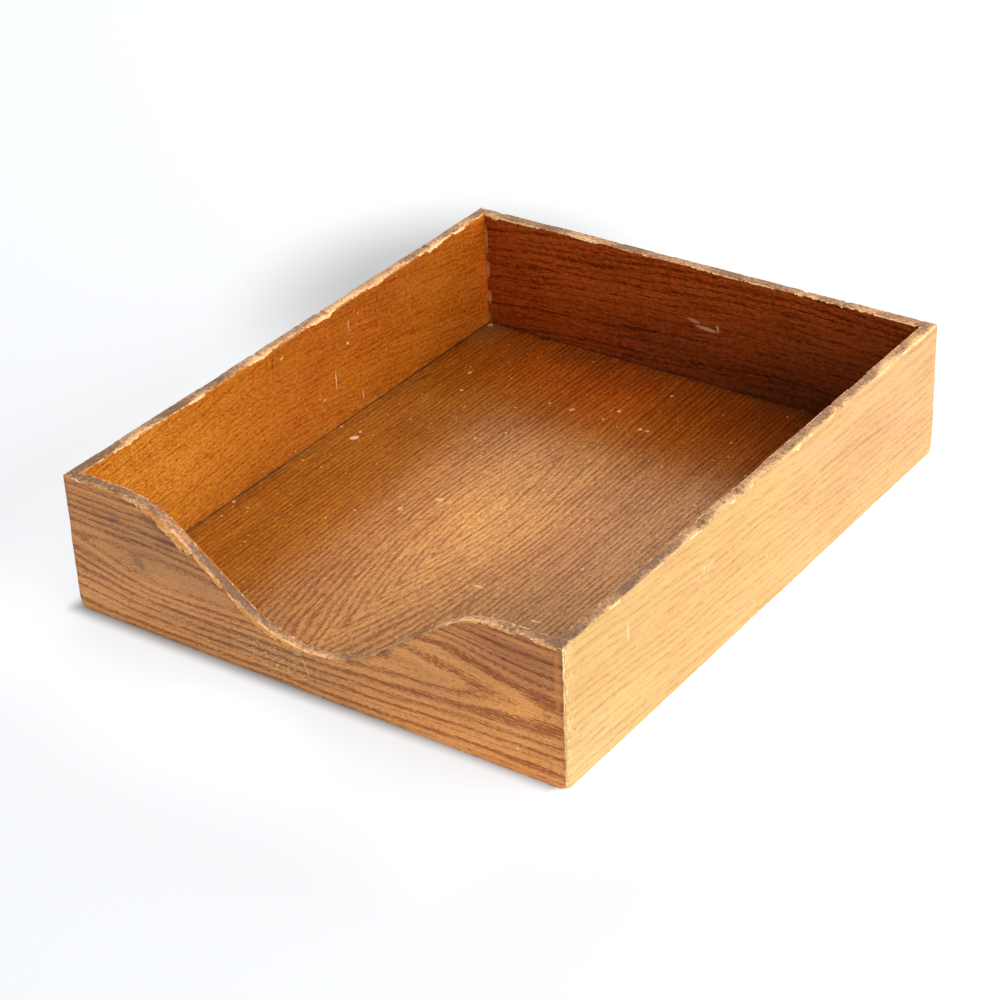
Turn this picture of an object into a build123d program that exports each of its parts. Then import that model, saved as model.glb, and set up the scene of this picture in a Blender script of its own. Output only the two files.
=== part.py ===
from build123d import *
import os
from collections import namedtuple
from math import cos, radians, sin

# A desk letter tray: four mitred plywood walls, glued over blind splines at the
# corners, hold a plywood bottom in a groove. The front wall is scooped out so that
# a hand can reach the papers.
#
# Millimetres, +Z up. X runs along the scooped front wall, Y from the front to the
# back. The origin is on the table, under the middle of the tray.

# Walls
TRAY_WIDTH = 260.35  # 10 1/4 in, outside
TRAY_DEPTH = 317.5  # 12 1/2 in, outside
WALL_HEIGHT = 68.3  # 2 11/16 in
WALL_THICKNESS = 6.35  # 1/4 in plywood
WALL_VENEER = 0.8  # face veneer on each side of the core
CORNER_RADIUS = 1.0  # upright outside corners, rounded by handling
RIM_EASING = 0.4  # radius along both arrises of the rim
FOOT_EASING = 0.3  # the veneers stop this far above the table

# Scoop in the front wall: a round valley, straight slopes and round shoulders
SCOOP_WIDTH = 200.0  # from shoulder to shoulder at the rim
SCOOP_ANGLE = 36.87  # slope of the straight stretch, degrees
VALLEY_RADIUS = 60.0
SHOULDER_RADIUS = 50.0

# Bottom panel, let into a groove all round
BOTTOM_THICKNESS = 3.2  # 1/8 in plywood
BOTTOM_VENEER = 0.5
BOTTOM_LIFT = 3.2  # underside of the panel above the table
GROOVE_DEPTH = 3.0
GROOVE_CLEARANCE = 0.2  # between the panel's edge and the end of the groove

# Blind splines, one across each mitre
SPLINE_THICKNESS = 1.6
SPLINE_WIDTH = 5.0
SPLINE_SETBACK = 3.4  # middle of the spline, in from both outside faces
SPLINE_TOP_COVER = 6.0  # wood above the spline
SPLINE_FOOT_COVER = 1.6  # wood between the bottom panel and the spline

CUT_MARGIN = 1.0  # how far a cutting tool runs past what it cuts

BOTTOM_TOP = BOTTOM_LIFT + BOTTOM_THICKNESS
CORE_THICKNESS = WALL_THICKNESS - 2 * WALL_VENEER
SPLINE_FOOT = BOTTOM_TOP + SPLINE_FOOT_COVER
SPLINE_LENGTH = WALL_HEIGHT - SPLINE_TOP_COVER - SPLINE_FOOT

# The slope is what the valley and the shoulder leave of the scoop's half width
SLOPE_LENGTH = (
    SCOOP_WIDTH / 2 - (VALLEY_RADIUS + SHOULDER_RADIUS) * sin(radians(SCOOP_ANGLE))
) / cos(radians(SCOOP_ANGLE))
SCOOP_DEPTH = (VALLEY_RADIUS + SHOULDER_RADIUS) * (1 - cos(radians(SCOOP_ANGLE))) + (
    SLOPE_LENGTH * sin(radians(SCOOP_ANGLE))
)
SCOOP_FLOOR = WALL_HEIGHT - SCOOP_DEPTH

# length is along the wall, span is across the tray, turn is from the front wall
Wall = namedtuple("Wall", "name length span turn scooped")
WALLS = (
    Wall("front", TRAY_WIDTH, TRAY_DEPTH, 0, True),
    Wall("right", TRAY_DEPTH, TRAY_WIDTH, 90, False),
    Wall("back", TRAY_WIDTH, TRAY_DEPTH, 180, False),
    Wall("left", TRAY_DEPTH, TRAY_WIDTH, 270, False),
)

# the signs of X and Y at each corner
CORNERS = {
    "front_left": (-1, -1),
    "front_right": (1, -1),
    "back_right": (1, 1),
    "back_left": (-1, 1),
}


def along(wall):
    """Direction of a wall, with the tray on its left."""
    return Vector(1, 0, 0).rotate(Axis.Z, wall.turn)


def inward(wall):
    """Direction from a wall's outside face into the tray."""
    return Vector(0, 1, 0).rotate(Axis.Z, wall.turn)


def plan_plane(wall):
    """Plane on the table: X along the wall, Y inwards from its outside face."""
    return Plane(origin=inward(wall) * (-wall.span / 2), x_dir=along(wall), z_dir=(0, 0, 1))


def elevation_plane(wall):
    """Plane of a wall's outside face: X along the wall, Y up, facing outwards."""
    return Plane(origin=inward(wall) * (-wall.span / 2), x_dir=along(wall), z_dir=-inward(wall))


def elevation(wall, low, high):
    """A wall seen from outside between two heights, or up to its rim where that is lower."""
    with BuildSketch() as outline:
        with BuildLine():
            if wall.scooped and high > SCOOP_FLOOR:
                valley = JernArc((0, SCOOP_FLOOR), (1, 0), VALLEY_RADIUS, SCOOP_ANGLE)
                slope = PolarLine(valley @ 1, SLOPE_LENGTH, SCOOP_ANGLE)
                shoulder = JernArc(slope @ 1, slope % 1, SHOULDER_RADIUS, -SCOOP_ANGLE)
                rim_start = shoulder @ 1
            else:
                rim_start = Vector(0, high)
            Polyline(rim_start, (wall.length / 2, high), (wall.length / 2, low), (0, low))
            mirror(about=Plane.YZ)
        make_face()
    return outline.sketch


def wall_plan(wall):
    """A wall seen from above, with mitred ends and rounded outside corners."""
    with BuildSketch() as outline:
        inside = wall.length / 2 - WALL_THICKNESS
        with BuildLine():
            Polyline(
                (-wall.length / 2, 0),
                (wall.length / 2, 0),
                (inside, WALL_THICKNESS),
                (-inside, WALL_THICKNESS),
                close=True,
            )
        make_face()
        with Locations((0, wall.span / 2)):
            RectangleRounded(wall.length, wall.span, CORNER_RADIUS, mode=Mode.INTERSECT)
    return outline.sketch


def rim_edges(face):
    """The edges of a wall's face that run along the rim."""
    return (
        face.edges()
        .filter_by(Axis.Z, reverse=True)
        .filter_by_position(Axis.Z, SCOOP_FLOOR - CUT_MARGIN, WALL_HEIGHT + CUT_MARGIN)
    )


def spline_plane(corner):
    """Plane across a mitre: X square to the joint, Y along it towards the tray."""
    x_sign, y_sign = CORNERS[corner]
    middle = (
        x_sign * (TRAY_WIDTH / 2 - SPLINE_SETBACK),
        y_sign * (TRAY_DEPTH / 2 - SPLINE_SETBACK),
        SPLINE_FOOT,
    )
    return Plane(origin=middle, x_dir=(y_sign, -x_sign, 0), z_dir=(0, 0, 1))


def save(part, name):
    """Labels a finished piece and writes it as its own node."""
    part.label = name
    export_step(part, f"parts/{name}.step")


def wall_core(wall):
    """The thick middle ply, with the bottom's groove and a slot for half of each spline."""
    with BuildPart() as core:
        with BuildSketch(elevation_plane(wall).offset(-WALL_VENEER)):
            add(elevation(wall, 0, WALL_HEIGHT))
        extrude(amount=-CORE_THICKNESS)
        with BuildSketch(plan_plane(wall).offset(-CUT_MARGIN)):
            add(wall_plan(wall))
        extrude(amount=WALL_HEIGHT + 2 * CUT_MARGIN, mode=Mode.INTERSECT)
        with BuildSketch(plan_plane(wall).offset(BOTTOM_LIFT)):
            with Locations((0, WALL_THICKNESS)):
                Rectangle(wall.length, 2 * GROOVE_DEPTH)
        extrude(amount=BOTTOM_THICKNESS, mode=Mode.SUBTRACT)
        for corner in CORNERS:
            with BuildSketch(spline_plane(corner)):
                Rectangle(SPLINE_WIDTH, SPLINE_THICKNESS)
            extrude(amount=SPLINE_LENGTH, mode=Mode.SUBTRACT)
    save(core.part, f"{wall.name}_core")


def outer_veneer(wall):
    """The ply that faces out of the tray."""
    with BuildPart() as veneer:
        with BuildSketch(elevation_plane(wall)):
            add(elevation(wall, FOOT_EASING, WALL_HEIGHT))
        extrude(amount=-WALL_VENEER)
        with BuildSketch(plan_plane(wall).offset(-CUT_MARGIN)):
            add(wall_plan(wall))
        extrude(amount=WALL_HEIGHT + 2 * CUT_MARGIN, mode=Mode.INTERSECT)
        outside = veneer.faces().sort_by(Axis((0, 0, 0), -inward(wall)))[-1]
        fillet(rim_edges(outside), RIM_EASING)
    save(veneer.part, f"{wall.name}_outer_veneer")


def inner_veneer(wall):
    """The ply that faces into the tray, above the groove."""
    with BuildPart() as veneer:
        with BuildSketch(elevation_plane(wall).offset(WALL_VENEER - WALL_THICKNESS)):
            add(elevation(wall, BOTTOM_TOP, WALL_HEIGHT))
        extrude(amount=-WALL_VENEER)
        with BuildSketch(plan_plane(wall).offset(-CUT_MARGIN)):
            add(wall_plan(wall))
        extrude(amount=WALL_HEIGHT + 2 * CUT_MARGIN, mode=Mode.INTERSECT)
        inside = veneer.faces().sort_by(Axis((0, 0, 0), inward(wall)))[-1]
        fillet(rim_edges(inside), RIM_EASING)
    save(veneer.part, f"{wall.name}_inner_veneer")


def foot_veneer(wall):
    """The strip of the inner ply that the groove leaves below the bottom panel."""
    with BuildPart() as strip:
        with BuildSketch(elevation_plane(wall).offset(WALL_VENEER - WALL_THICKNESS)):
            add(elevation(wall, FOOT_EASING, BOTTOM_LIFT))
        extrude(amount=-WALL_VENEER)
        with BuildSketch(plan_plane(wall).offset(-CUT_MARGIN)):
            add(wall_plan(wall))
        extrude(amount=WALL_HEIGHT + 2 * CUT_MARGIN, mode=Mode.INTERSECT)
    save(strip.part, f"{wall.name}_foot_veneer")


def bottom_ply(name, low, thickness):
    """One ply of the bottom panel, which reaches into the grooves on all four sides."""
    inset = 2 * (WALL_THICKNESS - GROOVE_DEPTH + GROOVE_CLEARANCE)
    with BuildPart() as ply:
        with BuildSketch(Plane.XY.offset(low)):
            Rectangle(TRAY_WIDTH - inset, TRAY_DEPTH - inset)
        extrude(amount=thickness)
    save(ply.part, name)


def corner_spline(corner):
    """A thin slip of wood glued across a mitre, hidden inside the corner."""
    with BuildPart() as spline:
        with BuildSketch(spline_plane(corner)):
            Rectangle(SPLINE_WIDTH, SPLINE_THICKNESS)
        extrude(amount=SPLINE_LENGTH)
    save(spline.part, f"{corner}_spline")


def main():
    os.makedirs("parts", exist_ok=True)
    for wall in WALLS:
        outer_veneer(wall)
        wall_core(wall)
        inner_veneer(wall)
        foot_veneer(wall)
    bottom_ply("bottom_under_veneer", BOTTOM_LIFT, BOTTOM_VENEER)
    bottom_ply("bottom_core", BOTTOM_LIFT + BOTTOM_VENEER, BOTTOM_THICKNESS - 2 * BOTTOM_VENEER)
    bottom_ply("bottom_top_veneer", BOTTOM_TOP - BOTTOM_VENEER, BOTTOM_VENEER)
    for corner in CORNERS:
        corner_spline(corner)


main()
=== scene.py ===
from collections import namedtuple
from math import cos, pi, radians, sin

import bpy
import numpy as np
from mathutils import Matrix, Vector


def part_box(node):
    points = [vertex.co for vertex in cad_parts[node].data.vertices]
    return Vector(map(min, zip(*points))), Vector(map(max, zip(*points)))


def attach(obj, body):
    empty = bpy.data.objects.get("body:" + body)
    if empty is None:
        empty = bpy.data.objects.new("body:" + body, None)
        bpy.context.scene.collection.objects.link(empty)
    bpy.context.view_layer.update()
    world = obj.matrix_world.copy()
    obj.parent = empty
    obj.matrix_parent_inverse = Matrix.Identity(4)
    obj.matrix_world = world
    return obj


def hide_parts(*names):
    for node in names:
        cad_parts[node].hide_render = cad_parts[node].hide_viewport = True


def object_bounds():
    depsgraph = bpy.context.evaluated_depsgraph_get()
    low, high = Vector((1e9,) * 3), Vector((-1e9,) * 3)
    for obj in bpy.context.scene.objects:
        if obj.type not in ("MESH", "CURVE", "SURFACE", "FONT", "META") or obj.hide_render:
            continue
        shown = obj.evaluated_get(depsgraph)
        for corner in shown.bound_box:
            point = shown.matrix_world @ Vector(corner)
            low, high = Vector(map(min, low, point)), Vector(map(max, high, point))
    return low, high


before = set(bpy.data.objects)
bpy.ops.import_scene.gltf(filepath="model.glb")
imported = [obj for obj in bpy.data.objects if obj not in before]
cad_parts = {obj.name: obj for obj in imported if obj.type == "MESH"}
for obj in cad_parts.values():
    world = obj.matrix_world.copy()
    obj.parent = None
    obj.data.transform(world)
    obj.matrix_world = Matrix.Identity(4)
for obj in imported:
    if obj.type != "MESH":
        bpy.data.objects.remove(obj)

# A worn oak-plywood letter tray. Every ply of the CAD model is rebuilt as a fine skin with
# rounded, chipped and dented edges, and oak is drawn from growth rings, pores and fibres.
# Shapes are worked out in millimetres in each wall's own frame: s runs along the wall from
# its middle, y inwards from its outside face, z up from the table.

MM = 0.001
cad_low, cad_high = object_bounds()
WIDTH, DEPTH, HEIGHT = (cad_high - cad_low) / MM


def cad_mm(node, corner, axis):
    """One coordinate of a CAD node's box, in millimetres: corner 0 is low, 1 is high."""
    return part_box(node)[corner][axis] / MM


WALL = cad_mm("front_inner_veneer", 1, 1) - cad_mm("front_outer_veneer", 0, 1)
VENEER = cad_mm("front_outer_veneer", 1, 1) - cad_mm("front_outer_veneer", 0, 1)
VENEER_FOOT = cad_mm("front_outer_veneer", 0, 2)
GROOVE_LOW = cad_mm("bottom_under_veneer", 0, 2)
FLOOR_TOP = cad_mm("bottom_top_veneer", 1, 2)
PANEL_CLEARANCE = 0.2
GROOVE_BACK = cad_mm("bottom_core", 0, 1) - cad_low.y / MM - PANEL_CLEARANCE

# The scoop of the front wall, as in the CAD model
SCOOP_WIDTH = 200.0
SCOOP_ANGLE = radians(36.87)
VALLEY_RADIUS = 60.0
SHOULDER_RADIUS = 50.0
VALLEY_END = VALLEY_RADIUS * sin(SCOOP_ANGLE)
SHOULDER_START = SCOOP_WIDTH / 2 - SHOULDER_RADIUS * sin(SCOOP_ANGLE)
SLOPE = sin(SCOOP_ANGLE) / cos(SCOOP_ANGLE)
SCOOP_FLOOR = (
    HEIGHT
    - (VALLEY_RADIUS + SHOULDER_RADIUS) * (1 - cos(SCOOP_ANGLE))
    - (SHOULDER_START - VALLEY_END) * SLOPE
)

# The worn rim, in millimetres: how far it is down in all, how much that varies, how deep its dents
# are, and how far its edges round off
RIM_LOSS, RIM_WAVES, DENT_DEPTH, RIM_CROWN = 0.05, 0.08, 0.7, 0.18
# The deepest that a broken veneer is cut back, in millimetres
OUTER_BREAK, INNER_BREAK = 0.62, 0.6

# Chip: place along the wall, half width and height below the rim, in millimetres
Chip = namedtuple("Chip", "at reach height")
# Wear: how far the strip chipped off each edge reaches, and how uneven it is, in millimetres
Wear = namedtuple("Wear", "outer_rim inner_rim left_end right_end foot")
# Clean: how far the core's edge is free of grime, on its inner side if above 0, else on its outer side
Wall = namedtuple("Wall", "name length span turn scooped seed clean wear outer_chips inner_chips")
WALLS = (
    Wall(
        "front", length=WIDTH, span=DEPTH, turn=0, scooped=True, seed=11, clean=-0.66,
        wear=Wear(outer_rim=-0.25, inner_rim=-0.45, left_end=-0.30, right_end=0.35, foot=0.10),
        outer_chips=(
            Chip(-122, 9, 0.7), Chip(-106, 8, 0.8), Chip(-90, 6, 1.3), Chip(-81, 9, 2.4),
            Chip(-70, 8, 4.0), Chip(-63, 5, 2.8), Chip(-54, 4, 1.2), Chip(-47, 4, 1.5),
            Chip(-39, 3, 0.9), Chip(-34, 4, 1.6), Chip(-26, 4, 1.5), Chip(-20, 4, 2.0),
            Chip(-11, 3, 1.5), Chip(-5, 2, 1.0), Chip(18, 3, 1.3), Chip(36, 2, 0.7), Chip(45, 2, 0.8),
            Chip(56, 2, 0.9), Chip(72, 6, 1.0), Chip(84, 6, 0.8), Chip(101, 8, 0.9), Chip(121, 8, 1.2),
        ),
        inner_chips=(
            Chip(-95, 12, 0.6), Chip(100, 9, 0.7),
        ),
    ),
    Wall(
        "right", length=DEPTH, span=WIDTH, turn=90, scooped=False, seed=23, clean=-0.68,
        wear=Wear(outer_rim=0.10, inner_rim=-0.1, left_end=0.65, right_end=0.10, foot=0.10),
        outer_chips=(
            Chip(27, 6, 2.2), Chip(38, 3, 1.0), Chip(108, 7, 1.6), Chip(-120, 6, 0.9),
            Chip(-86, 4, 0.8), Chip(-60, 5, 0.7), Chip(142, 6, 1.3),
        ),
        inner_chips=(
            Chip(-100, 14, 1.2), Chip(-10, 16, 1.4), Chip(90, 12, 1.2),
        ),
    ),
    Wall(
        "back", length=WIDTH, span=DEPTH, turn=180, scooped=False, seed=37, clean=0.55,
        wear=Wear(outer_rim=0.05, inner_rim=-0.20, left_end=0.25, right_end=0.15, foot=0.10),
        outer_chips=(
            Chip(-70, 10, 1.8), Chip(20, 7, 1.3), Chip(95, 9, 2.2),
        ),
        inner_chips=(
            Chip(-110, 14, 0.6), Chip(-20, 10, 0.5), Chip(62, 10, 0.6), Chip(105, 20, 1.0),
        ),
    ),
    Wall(
        "left", length=DEPTH, span=WIDTH, turn=270, scooped=False, seed=53, clean=0.66,
        wear=Wear(outer_rim=0.05, inner_rim=0.0, left_end=0.10, right_end=0.20, foot=0.10),
        outer_chips=(
            Chip(-115, 9, 1.7), Chip(-35, 12, 1.3), Chip(60, 8, 2.1), Chip(130, 6, 1.6),
        ),
        inner_chips=(
            Chip(-130, 6, 1.0), Chip(-108, 8, 1.3), Chip(-60, 6, 0.9), Chip(-18, 7, 1.3),
            Chip(30, 9, 0.8), Chip(75, 7, 1.2), Chip(125, 9, 0.9),
        ),
    ),
)


# ---------------------------------------------------------------- random fields for shapes

def noise(u, v, seed):
    """Smooth random field from -1 to 1, about one bump to each unit of u and v."""
    table = np.random.default_rng(seed).uniform(-1, 1, (256, 256))
    iu, iv = np.floor(u).astype(int), np.floor(v).astype(int)
    fu, fv = u - iu, v - iv
    fu, fv = fu * fu * (3 - 2 * fu), fv * fv * (3 - 2 * fv)
    low = table[iu % 256, iv % 256] * (1 - fu) + table[(iu + 1) % 256, iv % 256] * fu
    high = table[iu % 256, (iv + 1) % 256] * (1 - fu) + table[(iu + 1) % 256, (iv + 1) % 256] * fu
    return low * (1 - fv) + high * fv


def rough(u, v, seed, octaves=3):
    """Noise with finer noise on top of it."""
    return sum(noise(u * 2**k + 7 * k, v * 2**k, seed + k) / 1.7**k for k in range(octaves))


def smooth(x, low, high):
    """0 below low, 1 above high, and a smooth rise between."""
    t = np.clip((x - low) / (high - low), 0, 1)
    return t * t * (3 - 2 * t)


# ---------------------------------------------------------------- the walls' outline

def scoop_line(s):
    """Height of the front wall's rim at a distance s from its middle."""
    s = np.abs(s)
    valley = SCOOP_FLOOR + VALLEY_RADIUS - np.sqrt(VALLEY_RADIUS**2 - np.minimum(s, VALLEY_END) ** 2)
    slope = SCOOP_FLOOR + VALLEY_RADIUS * (1 - cos(SCOOP_ANGLE)) + (s - VALLEY_END) * SLOPE
    rise = np.clip(SCOOP_WIDTH / 2 - s, 0, SHOULDER_RADIUS)
    shoulder = HEIGHT - SHOULDER_RADIUS + np.sqrt(SHOULDER_RADIUS**2 - rise**2)
    return np.select([s < VALLEY_END, s < SHOULDER_START], [valley, slope], shoulder)


def rim(wall, s, y):
    """Height of a wall's rim, a little below the CAD's where it is worn, dented or rounded."""
    height = scoop_line(s) if wall.scooped else np.full_like(s, HEIGHT)
    wear = RIM_LOSS + RIM_WAVES * rough(s / 40, 0 * s, wall.seed + 1)
    dents = DENT_DEPTH * smooth(noise(s / 5.5, 0 * s, wall.seed + 2), 0.72, 0.95)
    crown = RIM_CROWN * np.abs(2 * y / WALL - 1) ** 4
    return height - np.clip(wear, 0.02, 1) - dents - crown


def chip_height(wall, s, chips, seed, least, vary):
    """How far the rim's veneer is chipped down at s along the wall: a strip of its own, and the chips."""
    height = least + vary * rough(s / 7, 0 * s, seed) + 0.2 * noise(s / 0.9, 0 * s, seed + 5)
    for chip in chips:
        edge = 1 - np.abs(s - chip.at) / chip.reach + 0.35 * noise(s / 1.6, 0 * s + chip.at, seed + 9)
        uneven = 1 + 0.3 * noise(s / 1.1, 0 * s, seed + 8)
        height = np.maximum(height, chip.height * smooth(edge, 0.0, 0.5) * uneven)
    return height


# ---------------------------------------------------------------- skins

def grades(low, high, step):
    """Evenly spaced numbers from low to high, about a step apart."""
    return np.linspace(low, high, max(2, int(round(abs(high - low) / step)) + 1))


def stations(length):
    """Places along a wall, closer together near its two ends."""
    half = length / 2
    near, fine, coarse = 4.0, 0.22, 0.5
    ends = grades(half, half - near, fine)[:-1]
    middle = grades(near - half, half - near, coarse)
    return np.concatenate([-ends, middle, ends[::-1]])


def column(y, low, high, step):
    """Rows up one face: (y, share of the rim's height, offset). Fine near the foot and near the rim."""
    foot_end, foot_step, rim_end, rim_step = low + 2.4, 0.4, 0.75, 0.3
    foot = [(y, 0.0, z) for z in grades(low, foot_end, foot_step)]
    middle = [(y, t, (1 - t) * foot_end - t * high) for t in grades(0, 1, step)[1:-1]]
    rim_rows = [(y, 1.0, -d) for d in grades(high, rim_end, rim_step)]
    return foot + middle + rim_rows


def arris(y, radius, inwards, reference, offset, up):
    """A rounded edge between a face at y and the level face above or below it."""
    angles = grades(0, pi / 2, pi / 8)
    return [
        (y + inwards * radius * (1 - cos(a)), reference, offset - up * radius * (1 - sin(a)))
        for a in angles
    ]


def place(wall, s, y, z):
    """Millimetres in a wall's own frame to metres in the tray's."""
    turn = radians(wall.turn)
    along = np.array([cos(turn), sin(turn), 0])
    inward = np.array([-sin(turn), cos(turn), 0])
    flat = s[..., None] * along + (y - wall.span / 2)[..., None] * inward
    return (flat + z[..., None] * np.array([0, 0, 1])) * MM


def skin(node, rings, marks, material):
    """Closes a row of rings into a solid skin, stores its marks and puts it in place of a CAD node."""
    name = f"{node}_wood"
    count, size = rings.shape[:2]
    faces = []
    for i in range(count - 1):
        for j in range(size):
            a, b = i * size + j, i * size + (j + 1) % size
            faces.append((a, b, b + size, a + size))
    faces.append(tuple(range(size))[::-1])
    faces.append(tuple(range((count - 1) * size, count * size)))
    mesh = bpy.data.meshes.new(name)
    mesh.from_pydata(rings.reshape(-1, 3).tolist(), [], faces)
    for mark, values in marks.items():
        layer = mesh.attributes.new(mark, "FLOAT", "POINT")
        values = np.broadcast_to(values, (count, size)).astype(np.float32)
        layer.data.foreach_set("value", values.ravel())
    if volume(mesh) < 0:
        mesh.flip_normals()
    mesh.shade_smooth()
    mesh.set_sharp_from_angle(angle=radians(50))
    mesh.materials.append(material)
    piece = bpy.data.objects.new(name, mesh)
    bpy.context.scene.collection.objects.link(piece)
    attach(piece, "root")
    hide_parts(node)


def volume(mesh):
    """Signed volume of a closed mesh."""
    mesh.calc_loop_triangles()
    corners = np.empty(len(mesh.loop_triangles) * 3, np.int32)
    mesh.loop_triangles.foreach_get("vertices", corners)
    points = np.empty(len(mesh.vertices) * 3, np.float32)
    mesh.vertices.foreach_get("co", points)
    a, b, c = points.reshape(-1, 3)[corners.reshape(-1, 3)].transpose(1, 0, 2)
    return float((a * np.cross(b, c)).sum())


def wall_grid(wall, section):
    """s, y, share and offset of every point of a wall's ply, with its ends cut to the mitre."""
    section = np.array(section)
    along = stations(wall.length)
    y = np.broadcast_to(section[:, 0], (len(along), len(section))).copy()
    s = along[:, None] * (1 - 2 * y / wall.length)
    return s, y, section[:, 1] + 0 * y, section[:, 2] + 0 * y


def heights(wall, s, y, share, offset):
    """Height of each point: a share of the worn rim, plus an offset."""
    return share * rim(wall, s, y) + offset


def outer_veneer(wall, material):
    """The outside ply: chipped along the rim, the corners and the foot, its upright arrises rounded."""
    section = arris(0, 0.4, 1, 0.0, VENEER_FOOT, -1)[::-1]
    section += column(0, VENEER_FOOT + 0.8, 6.0, 1 / 46)
    section += arris(0, 0.45, 1, 1.0, 0.0, 1)
    section += [(OUTER_BREAK, 1.0, 0.0), (VENEER, 1.0, 0.0), (VENEER, 1.0, -4.0), (VENEER, 0.0, 3.0)]
    section += [(VENEER, 0.0, VENEER_FOOT)]
    s, y, share, offset = wall_grid(wall, section)
    z = heights(wall, s, y, share, offset)
    top = rim(wall, s, y)
    seed = wall.seed
    end = wall.length / 2 - np.abs(s)
    # distances into the wood from the edge of each kind of chip
    ragged = 0.07 * noise(s / 0.5, z / 0.25, seed + 3) + 0.1 * noise(s / 3.0, z / 0.4, seed + 4)
    rim_chip = chip_height(wall, s, wall.outer_chips, seed + 20, wall.wear.outer_rim, 0.45)
    rim_chip = rim_chip - (top - z)
    end_wear = np.where(s < 0, wall.wear.left_end, wall.wear.right_end)
    corner_reach = end_wear + 0.3 * rough(z / 7, np.sign(s) + 0 * z, seed + 30)
    corner_reach += end_wear * smooth(noise(z / 3.1, np.sign(s) * 3, seed + 33), 0.1, 0.8)
    corner_chip = corner_reach - end
    foot_reach = wall.wear.foot + 0.3 * rough(s / 8, 0 * s, seed + 40)
    foot_reach += 0.7 * smooth(noise(s / 3, 0 * s, seed + 43), 0.5, 0.9)
    foot_chip = foot_reach - (z - VENEER_FOOT)
    inside = np.maximum(np.maximum(rim_chip, corner_chip), foot_chip) + ragged
    chip = smooth(inside, 0.0, 0.3)
    depth = chip * (0.22 + 0.34 * smooth(inside, 0.1, 1.6)) * np.clip(1 - y / VENEER, 0, 1)
    depth *= 1 + 0.35 * noise(s / 1.3, z / 0.5, seed + 6)
    y = y + np.clip(depth, 0, OUTER_BREAK)
    z = z - 0.3 * chip * smooth(share, 0.99, 1.0) * smooth(z, top - 0.6, top - 0.1)
    y = y + np.clip(0.03 + 0.03 * rough(s / 35, z / 20, seed + 7), 0, 0.1) * (y < VENEER / 2)
    s, y, end = round_corner(wall, s, y, z, end)
    z = z + foot_corner(wall, s, z)
    marks = {"chip": inside, "edge": np.minimum(np.minimum(top - z, z), end)}
    skin(f"{wall.name}_outer_veneer", place(wall, s, y, z), marks, material)


def round_corner(wall, s, y, z, end):
    """Rounds the upright outside arris, where two walls meet, by an uneven radius."""
    radius = 1.0 + 0.3 * rough(z / 11, np.sign(s) + 0 * z, wall.seed + 50) + 1.6 * smooth(z, 7, 0)
    near = end < radius
    angle = pi / 4 * (1 - np.clip(end / radius, 0, 1))
    rounded_end = np.where(near, radius * (1 - np.sin(angle)), end)
    rounded_y = np.where(near, np.maximum(y, radius * (1 - np.cos(angle))), y)
    at_mitre = np.zeros_like(near)
    at_mitre[0], at_mitre[-1] = True, True
    rounded_end = np.where(at_mitre, rounded_y, np.maximum(rounded_end, rounded_y))
    return np.sign(s) * (wall.length / 2 - rounded_end), rounded_y, rounded_end


def foot_corner(wall, s, z):
    """How far the worn bottom corners are lifted."""
    worn, steep, above = 4.0, 0.16, 7.0
    reach = np.clip(worn - (wall.length / 2 - np.abs(s)), 0, worn)
    return steep * reach**2 * smooth(z, above, 0.0)


def wall_core(wall, material):
    """The middle ply, whose edge shows along the rim and under the foot."""
    low, high = VENEER, WALL - VENEER
    section = [(y, 0.0, 0.0) for y in grades(low, high, 0.8)]
    section += [(high, 0.0, GROOVE_LOW), (GROOVE_BACK, 0.0, GROOVE_LOW)]
    section += [(GROOVE_BACK, 0.0, FLOOR_TOP), (high, 0.0, FLOOR_TOP)]
    section += [(high, t, (1 - t) * 12 - t * 3) for t in (0.0, 0.5, 1.0)]
    section += [(y, 1.0, 0.0) for y in grades(high, low, 0.36)]
    section += [(low, t, (1 - t) * 6 - t * 3) for t in (1.0, 0.5, 0.0)]
    s, y, share, offset = wall_grid(wall, section)
    z = heights(wall, s, y, share, offset)
    on_top = (share > 0.99) & (offset > -0.1)
    seed = wall.seed
    pits = smooth(rough(s / 1.1, y / 0.8, seed + 60), 0.45, 1.05)
    fuzz = 0.06 * rough(s / 0.7, y / 0.5, seed + 64)
    z = z - on_top * np.clip(0.08 + 0.7 * fuzz + 0.2 * pits, 0, 1)
    under = (share < 0.01) & (offset < 0.1)
    dents = 0.12 * smooth(noise(s / 4, y / 2, seed + 70), 0.5, 0.9)
    z = z + under * np.clip(0.05 * rough(s / 1.4, y / 0.9, seed + 68) + dents, 0, 1)
    z = z + foot_corner(wall, s, z)
    clean = y / WALL * wall.clean if wall.clean > 0 else (y / WALL - 1) * wall.clean
    marks = {"chip": pits * on_top, "clean": clean}
    skin(f"{wall.name}_core", place(wall, s, y, z), marks, material)


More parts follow.
